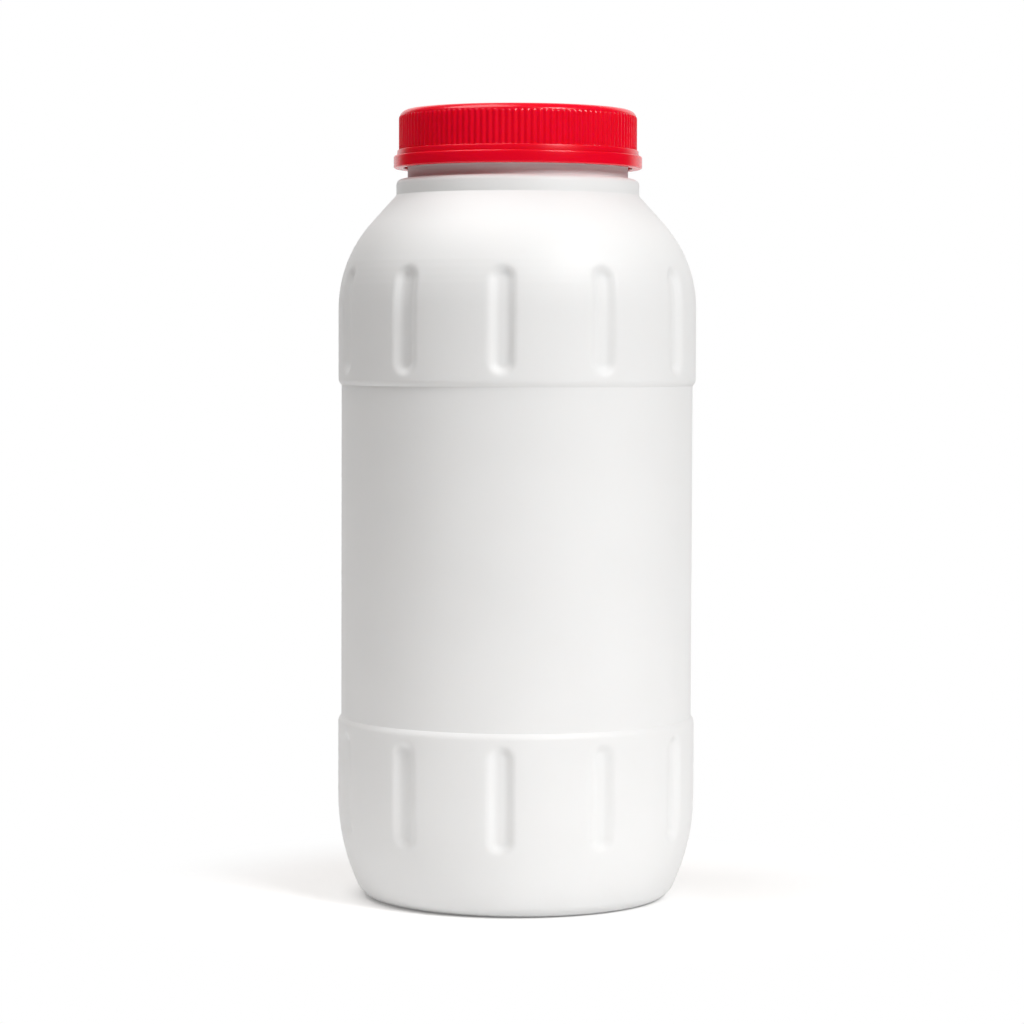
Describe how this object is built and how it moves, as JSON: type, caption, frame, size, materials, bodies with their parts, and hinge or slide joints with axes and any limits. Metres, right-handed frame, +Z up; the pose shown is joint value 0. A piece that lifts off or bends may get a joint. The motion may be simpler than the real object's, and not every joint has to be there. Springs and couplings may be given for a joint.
{
  "type": "drain cleaner bottle",
  "caption": "White blow-moulded wide-mouth bottle with a red knurled screw cap, a tamper-evident band, fluted bands above and below a bare recessed label panel.",
  "frame": {"origin": "on the bottle's axis, at the level of the standing ring", "axes": "+Z up along the bottle's axis, the mould's parting plane is XZ, and the middle flute of the front half faces -Y"},
  "size_m": [0.092, 0.092, 0.2023],
  "materials": {
    "bottle_white": "satin white high-density polyethylene",
    "closure_red": "semi-gloss red polypropylene",
    "liner_foam": "soft matt polyethylene foam"
  },
  "bodies": {
    "bottle": {"bottle": "bottle_white"},
    "liner": {"liner": "liner_foam"},
    "cap": {"cap": "closure_red"},
    "tamper_band": {"tamper_band": "closure_red"}
  },
  "joints": [
    {"name": "cap_lift", "type": "slide", "parent": "bottle", "child": "liner", "axis": [0, 0, 1], "range_m": [0, 0.0105]},
    {"name": "cap_turn", "type": "hinge", "parent": "liner", "child": "cap", "pos_m": [0, 0, 0.19], "axis": [0, 0, 1], "range_deg": [0, 900]},
    {"name": "band_turn", "type": "hinge", "parent": "bottle", "child": "tamper_band", "pos_m": [0, 0, 0.1888], "axis": [0, 0, 1], "continuous": true}
  ],
  "couplings": [
    {"joint": "cap_lift", "follows": "cap_turn", "m_per_rad": 0.00066845}
  ]
}
